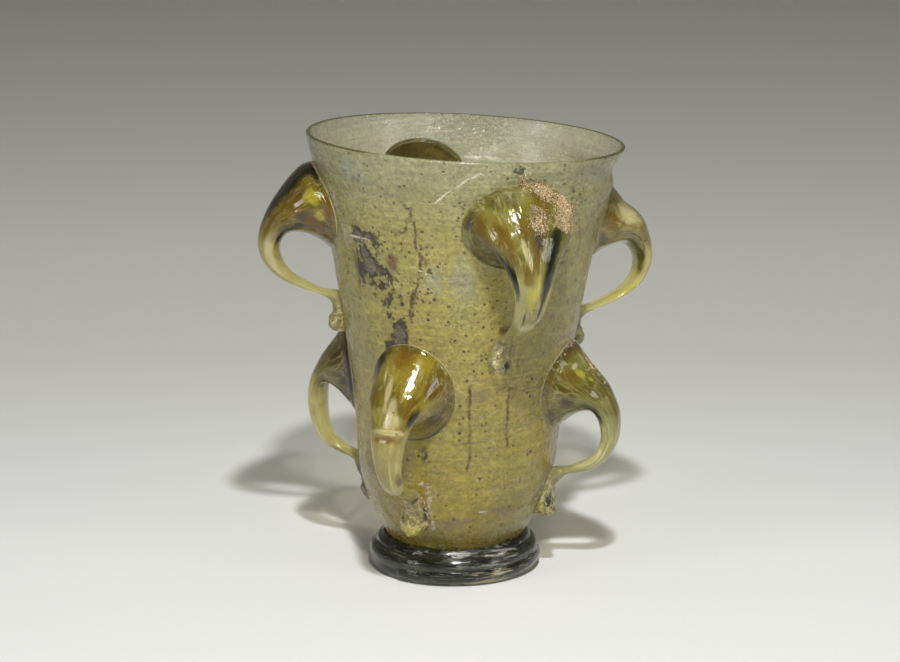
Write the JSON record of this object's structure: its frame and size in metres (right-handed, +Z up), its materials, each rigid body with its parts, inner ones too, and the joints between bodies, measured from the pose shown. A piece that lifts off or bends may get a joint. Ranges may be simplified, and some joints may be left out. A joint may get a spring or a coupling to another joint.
{
  "type": "glass claw beaker",
  "caption": "Tall flaring blown-glass beaker on a wound coil foot, with two staggered rows of hollow trunk-like claws that loop down its wall.",
  "frame": {"origin": "on the resting plane under the middle of the vessel's width and depth", "axes": "+Z up out of the mouth, -Y towards the front, where one upper claw points, +X to the right"},
  "size_m": [0.1494, 0.1538, 0.1683],
  "materials": {
    "body_glass": "thin olive-green blown glass with seeds, brown and dark specks, a thin weathering film and faint scratches",
    "claw_glass": "glossy amber-olive bulbs that thin out to pale yellow-green trunks with lengthwise ridges",
    "foot_glass": "glossy near-black green wound coil with silvery and golden streaks"
  },
  "bodies": {
    "root": {"blown_body": "body_glass", "coiled_foot": "foot_glass", "upper_claw_left": "claw_glass", "upper_claw_front": "claw_glass", "upper_claw_right": "claw_glass", "upper_claw_back": "claw_glass", "lower_claw_front_left": "claw_glass", "lower_claw_front_right": "claw_glass", "lower_claw_back_right": "claw_glass", "lower_claw_back_left": "claw_glass"}
  },
  "joints": []
}
